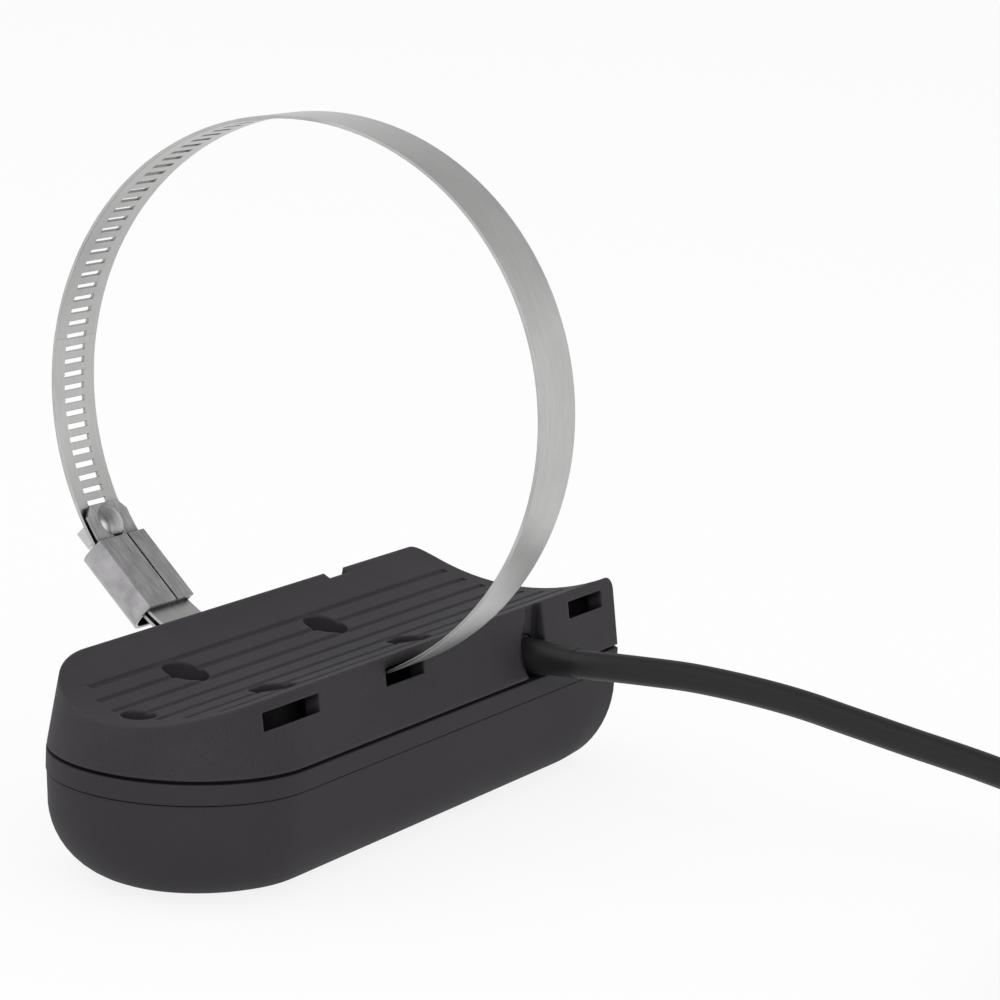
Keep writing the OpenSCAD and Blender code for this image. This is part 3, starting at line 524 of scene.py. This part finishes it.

# %% [markdown]
# ## Steel strip
# The band is rolled stainless strip, so its fine lines run along the strip, round the
# ring. The angle round the ring's axis and the place across the strip make the
# coordinates of a stretched noise. Creases and edges are darkened as painted shade, and
# on the clamp a small, strong cloud is a painted reflection.

# %% Rolled steel for the band


def rolled_steel(name, tone, rough, axis_z, lines=5200, patch=90, spread=0.4):
    f = Finish(name)
    parts = f.node("ShaderNodeSeparateXYZ", None, {"Vector": f.place()})
    x, y, z = (Wire(f, parts.socket.node.outputs[i]) for i in range(3))
    angle = x.math("ARCTAN2", z - axis_z, x)
    outward = x * x + (z - axis_z) * (z - axis_z)
    strip = {"X": y * lines, "Y": angle * 9, "Z": outward * 900}
    along = f.node("ShaderNodeCombineXYZ", None, strip)
    line = f.noise(1, 3, 0.6, along)
    cloud = f.noise(patch, 3)
    # The lines and the cloud vary the tone. Creases and edges are darkened as painted shade.
    mark = line * 0.6 + cloud * 0.4 - f.crease(0.0015) * 0.8 - f.edge(0.0002) * 0.5
    dark = tuple((1 - spread) * c for c in tone)
    light = tuple(min(1, (1 + 0.9 * spread) * c) for c in tone)
    shade = f.blend(mark, dark, light)
    f.set(Base_Color=shade, Metallic=1.0, Roughness=rough - 0.08 + line * 0.12 + cloud * 0.05,
          Normal=f.relief(line, 0.00001, 0.25, 0.0002))
    return f


STRAP_AXIS_Z = 0.0805
band_steel = rolled_steel("band_steel", (0.50, 0.50, 0.495), 0.32, STRAP_AXIS_Z)
# On the clamp the cloud is small and its spread strong, which paints reflections into the colour.
pressed_steel = rolled_steel("pressed_steel", (0.42, 0.41, 0.42), 0.24, STRAP_AXIS_Z,
                             lines=1500, patch=300, spread=0.85)
dress("clamp_band", band_steel)
for name in ("clamp_saddle", "clamp_housing"):
    dress(name, pressed_steel)
print("steel on band, saddle and clamp housing")

# %% Plated steel for the screws


def plated(name, tone, rough, edge):
    f = Finish(name)
    cloud = f.noise(700, 4)
    shade = f.blend(cloud, tuple(0.8 * c for c in tone), tone)
    f.set(Base_Color=shade, Metallic=1.0, Roughness=rough + cloud * 0.14,
          Normal=f.relief(cloud, 0.00002, 0.3, edge))
    return f


worm_plating = plated("worm_plating", (0.62, 0.62, 0.61), 0.16, 0.0003)
screw_plating = plated("screw_plating", (0.20, 0.20, 0.21), 0.34, 0.0002)
dress("worm_screw", worm_plating)
dress("board_screws", screw_plating)
# The cradle's screws are made near black, so the recesses they sit in look dark: painted shade.
dress("cradle_screws", plated("dark_screw_steel", (0.05, 0.05, 0.052), 0.42, 0.0002))
print("plating on the screws")

# %% [markdown]
# ## The worm's thread
# Inside the clamp housing a worm meshes with the slots of the band. Its core is a solid of
# the model, and the thread is a small tooth swept round the core: a spin that also climbs,
# with one slot's pitch for each turn.

# %% Sweep the thread
worm_at = Vector((-0.036939, -0.0114, 0.040888))
worm_way = Vector((0.731354, 0, -0.681998))
outward = worm_way.cross(Vector((0, 1, 0)))
PITCH, THREAD_TURNS, TURN_STEPS = 0.00245, 5, 28
tooth = [(1.20, -0.85), (1.58, -0.35), (1.58, 0.35), (1.20, 0.85)]
sweep = bmesh.new()
start = worm_at - worm_way * 0.0051
corners = [sweep.verts.new(start + outward * (r / 1000) + worm_way * (h / 1000)) for r, h in tooth]
profile = [sweep.edges.new((a, b)) for a, b in zip(corners, corners[1:] + corners[:1])]
sweep.faces.new(corners)
steps = THREAD_TURNS * TURN_STEPS
turned = bmesh.ops.spin(sweep, geom=corners + profile, cent=worm_at, axis=worm_way, steps=steps,
                        dvec=worm_way * PITCH / TURN_STEPS, angle=2 * math.pi * THREAD_TURNS,
                        use_merge=False)
sweep.faces.new([v for v in turned["geom_last"] if isinstance(v, bmesh.types.BMVert)])
bmesh.ops.recalc_face_normals(sweep, faces=sweep.faces)
worm_thread = settle(sweep, "worm_thread")
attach(worm_thread, WORM)
worm_thread.data.materials.append(worm_plating.material)
print("thread faces", len(worm_thread.data.polygons))

# %% [markdown]
# ## Cable jacket and other rubber
# The jacket is extruded rubber with a dull shine, and dust settles in its slight
# unevenness. The boots are the same rubber with a coarser skin.

# %% Rubber


def rubber(name, dark, light, grain, rough, depth, shine=0.2):
    f = Finish(name)
    skin = f.noise(grain, 3)
    cloud = f.noise(45, 3)
    f.set(Base_Color=f.blend(cloud * 0.6 + skin * 0.4, dark, light),
          Roughness=rough + cloud * 0.12 - skin * 0.05, Normal=f.relief(skin, depth, 0.35))
    f.shader.inputs["Specular IOR Level"].default_value = shine
    return f


jacket = rubber("jacket", (0.0095, 0.0087, 0.0098), (0.017, 0.0157, 0.0174), 1500, 0.36, 0.00003,
                shine=0.3)
boot_rubber = rubber("boot_rubber", (0.008, 0.008, 0.0085), (0.015, 0.0147, 0.015), 1900, 0.5,
                     0.00004)
seal_rubber = rubber("seal_rubber", (0.16, 0.030, 0.022), (0.24, 0.052, 0.038), 1400, 0.42, 0.00003)
foam = rubber("foam", (0.09, 0.06, 0.035), (0.22, 0.15, 0.09), 900, 0.75, 0.0002)
cable_curve.materials.append(jacket.material)
cable_sleeve.data.materials.append(jacket.material)
for name in ("cable_boot", "plug_boot"):
    dress(name, boot_rubber)
dress("plug_seal", seal_rubber)
for name in ("disc_foam", "bar_foam"):
    dress(name, foam)
print("rubber on cable, boots, seal and foam")

# %% [markdown]
# ## Plug, tie and the sealed inner pieces
# The plug is moulded like the body. The tie is woven tape. Inside the housing sit
# silvered ceramic elements, a board with green resist, a ferrite pot and brass pieces.

# %% Plug, tie and insert
plug_plastic = moulded("plug_plastic", (0.020, 0.020, 0.021), (0.030, 0.030, 0.031), 2600, 0.0004)
insert_plastic = moulded("insert_plastic", (0.50, 0.48, 0.43), (0.62, 0.60, 0.54), 2600, 0.0003)
dress("plug_shell", plug_plastic)
dress("plug_insert", insert_plastic)

tape = Finish("tie_tape")
weave = tape.node("ShaderNodeTexWave", {"wave_type": "BANDS", "bands_direction": "DIAGONAL"},
                  {"Vector": tape.place(), "Scale": 900.0, "Distortion": 1.5, "Detail": 2.0},
                  out="Fac")
tape.set(Base_Color=tape.blend(weave, (0.010, 0.010, 0.011), (0.028, 0.028, 0.030)),
         Roughness=0.78 + weave * 0.1, Normal=tape.relief(weave, 0.00012, 0.5))
tie_strap.data.materials.append(tape.material)
dress("cable_tie", tape)
print("plug and tie dressed")

# %% Ceramic, board, ferrite, brass and leads


def mottled(name, dark, light, scale, rough, metallic=0.0, depth=0.00003):
    f = Finish(name)
    spots = f.noise(scale, 5, 0.6)
    f.set(Base_Color=f.blend(spots, dark, light), Metallic=metallic, Roughness=rough + spots * 0.15,
          Normal=f.relief(spots, depth, 0.3, 0.0002))
    return f


silvered = mottled("silvered_ceramic", (0.55, 0.52, 0.45), (0.78, 0.75, 0.66), 500, 0.30)
resist = mottled("solder_resist", (0.010, 0.075, 0.025), (0.022, 0.13, 0.050), 380, 0.22)
ferrite = mottled("ferrite", (0.035, 0.035, 0.038), (0.075, 0.075, 0.080), 900, 0.5)
brass = mottled("brass", (0.52, 0.35, 0.12), (0.68, 0.48, 0.19), 600, 0.18, 1.0)
sleeve = mottled("lead_sleeve", (0.34, 0.05, 0.035), (0.48, 0.09, 0.06), 700, 0.34)
for finish, names in ((silvered, ("sounding_disc", "side_bars", "down_bar")),
                      (resist, ("circuit_board",)), (ferrite, ("tuning_choke",)),
                      (brass, ("temperature_probe", "plug_pins")),
                      (sleeve, ("disc_leads", "core_wires"))):
    for name in names:
        dress(name, finish)
print("inner pieces dressed")

# %% [markdown]
# ## Floor, background and light
# A pale floor carries the shadow. Camera, mirror and glass rays see it and the world
# almost white, while the light on the object itself stays at a plain level, a little
# stronger from above. Two very broad lamps soften it. They are hardly brighter than the
# white around them, so the bare steel mirrors no hot spot, and a greyer ceiling gives it
# some depth.

# %% Floor and world
sheet = bmesh.new()
bmesh.ops.create_grid(sheet, x_segments=1, y_segments=1, size=6)
floor = settle(sheet, "floor")

paper = Finish("floor_paper")
GLOW_SHARE = 0.86
glow = paper.node("ShaderNodeEmission", None, {"Color": (1, 1, 1, 1), "Strength": 1.0})
matt = paper.node("ShaderNodeBsdfDiffuse", None, {"Color": (0.86, 0.86, 0.86, 1)})
mixed = paper.node("ShaderNodeMixShader", None, {0: paper.shown() * GLOW_SHARE, 1: matt, 2: glow})
output = next(n for n in paper.tree.nodes if n.type == "OUTPUT_MATERIAL")
paper.feed(output.inputs["Surface"], mixed)
floor.data.materials.append(paper.material)


class Backdrop(Finish):
    """The same kit on the nodes of the world."""

    def __init__(self, name):
        self.world = bpy.data.worlds.new(name)
        self.world.use_nodes = True
        self.tree = self.world.node_tree
        self.shader = next(n for n in self.tree.nodes if n.type == "BACKGROUND")


studio = Backdrop("studio")
scene.world = studio.world
shown = studio.shown()
way = studio.node("ShaderNodeTexCoord", out="Generated")
height = studio.node("ShaderNodeSeparateXYZ", None, {"Vector": way}, out="Z")
ceiling = studio.node("ShaderNodeMapRange", None, {
    "Value": height, "From Min": 0.15, "From Max": 0.65, "To Min": 1.0, "To Max": 0.45})
soft_sky = studio.node("ShaderNodeMapRange", None, {
    "Value": height, "From Min": -0.1, "From Max": 1.0, "To Min": 0.46, "To Max": 0.98})
studio.set(Color=(1, 1, 1, 1),
           Strength=soft_sky + shown.math("MINIMUM", shown, 1) * (ceiling - soft_sky))
print("floor and world ready")

# %% Lamps


def lamp(name, place, aim, size, power):
    data = bpy.data.lights.new(name, "AREA")
    data.shape = "DISK"
    data.size = size
    data.energy = power
    lamp_object = bpy.data.objects.new(name, data)
    way = Vector(aim) - Vector(place)
    turned_to = way.to_track_quat("-Z", "Y").to_matrix().to_4x4()
    lamp_object.matrix_world = Matrix.Translation(place) @ turned_to
    scene.collection.objects.link(lamp_object)
    return lamp_object


lamp("key", (-1.0, -0.9, 1.7), (0, 0, 0.04), 2.2, 12)
lamp("fill", (1.5, -1.2, 0.9), (0, 0, 0.04), 2.0, 12)
print("lamps ready")
